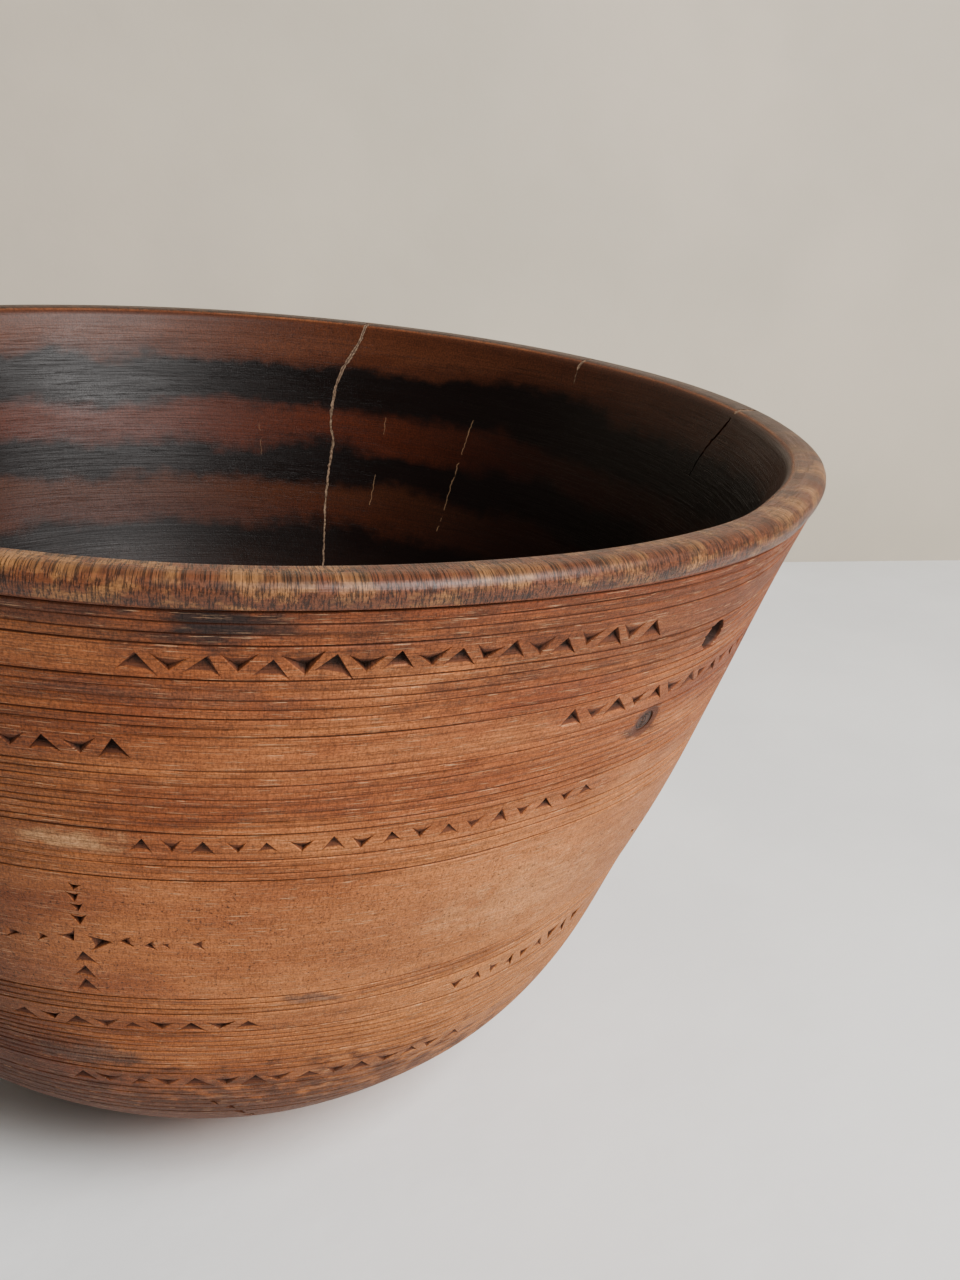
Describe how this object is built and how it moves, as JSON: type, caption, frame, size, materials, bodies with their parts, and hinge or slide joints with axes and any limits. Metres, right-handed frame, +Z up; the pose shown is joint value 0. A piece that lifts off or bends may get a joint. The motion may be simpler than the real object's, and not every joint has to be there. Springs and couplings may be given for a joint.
{
  "type": "carved wooden bowl",
  "caption": "Deep round wooden bowl with flared wall, scribed rings, chip-carved bands, an open knot hole and a filled crack.",
  "frame": {"origin": "centre of the foot, on the surface that the bowl stands on", "axes": "+Z up along the bowl's axis; -Y is the front, with the chip-carved cross left of centre and the knot hole to the right"},
  "size_m": [0.3972, 0.397, 0.242],
  "materials": {
    "carved_wood": "hand-worn satin outside, oiled and smoke-darkened inside",
    "crack_filler": "matt gritty filler of wood dust and glue",
    "knot_wood": "dark dense end grain, satin"
  },
  "bodies": {
    "root": {"bowl_body": "carved_wood", "crack_filler_long": "crack_filler", "crack_filler_middle": "crack_filler", "crack_filler_right": "crack_filler", "tight_knot": "knot_wood"}
  },
  "joints": []
}
